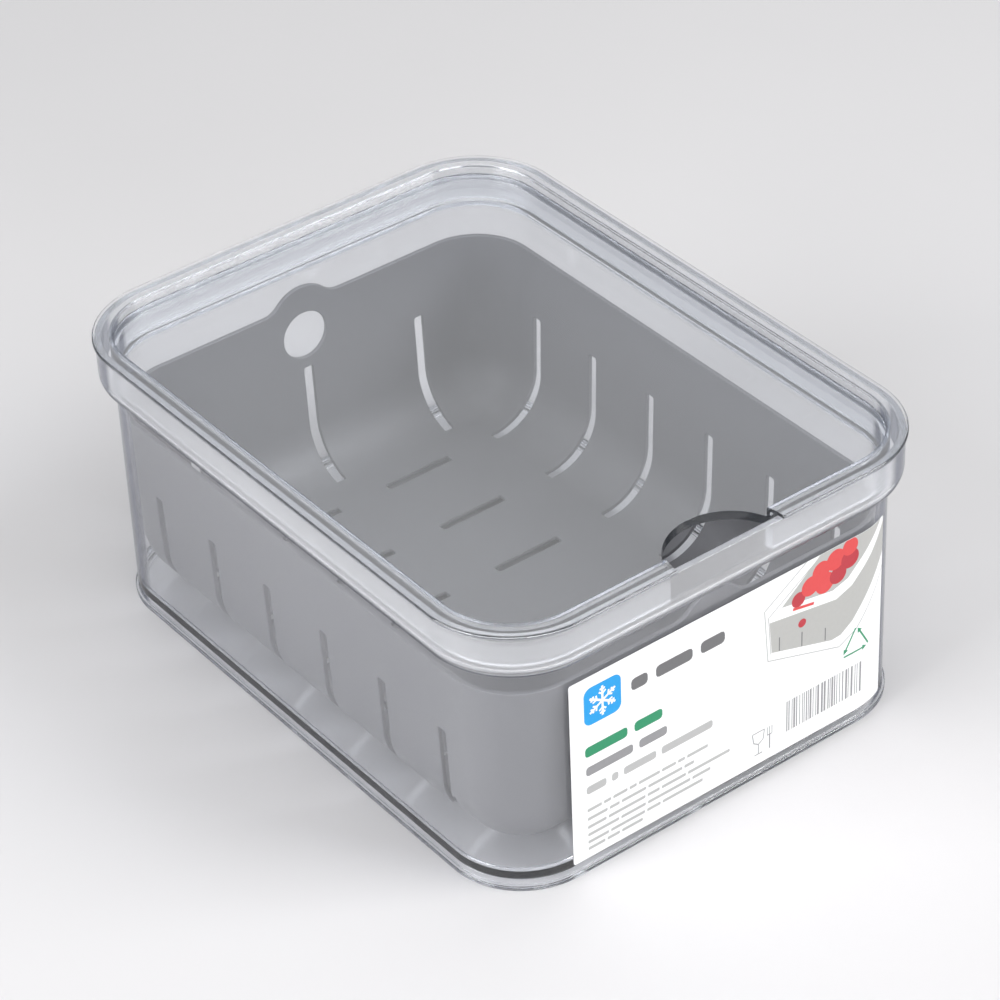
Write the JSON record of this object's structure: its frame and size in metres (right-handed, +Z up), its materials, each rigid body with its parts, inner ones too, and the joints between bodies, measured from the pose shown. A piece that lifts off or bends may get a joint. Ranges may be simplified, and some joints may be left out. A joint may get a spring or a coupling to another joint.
{
  "type": "fridge storage bin",
  "caption": "Clear rounded-rectangular fridge storage bin with a drop-in clear lid, a lift-out slotted strainer basket and a paper label on one end.",
  "frame": {"origin": "centre of the underside, on the ground plane", "axes": "+Z up, the labelled and notched short end faces -Y, X runs across the short ends, Y along the long sides"},
  "size_m": [0.165, 0.216, 0.0952],
  "materials": {
    "clear_plastic": "clear, high gloss moulded",
    "grey_plastic": "fine matt moulded",
    "lid_plastic": "clear, high gloss moulded",
    "label_paper": "coated white paper with printed shapes"
  },
  "bodies": {
    "bin": {"bin": "clear_plastic", "label": "label_paper"},
    "basket": {"basket": "grey_plastic"},
    "lid": {"lid": "lid_plastic"}
  },
  "joints": [
    {"name": "basket_lift", "type": "slide", "parent": "bin", "child": "basket", "axis": [0, 0, 1], "range_m": [0, 0.11]},
    {"name": "lid_lift", "type": "slide", "parent": "basket", "child": "lid", "axis": [0, 0, 1], "range_m": [0, 0.06]}
  ]
}
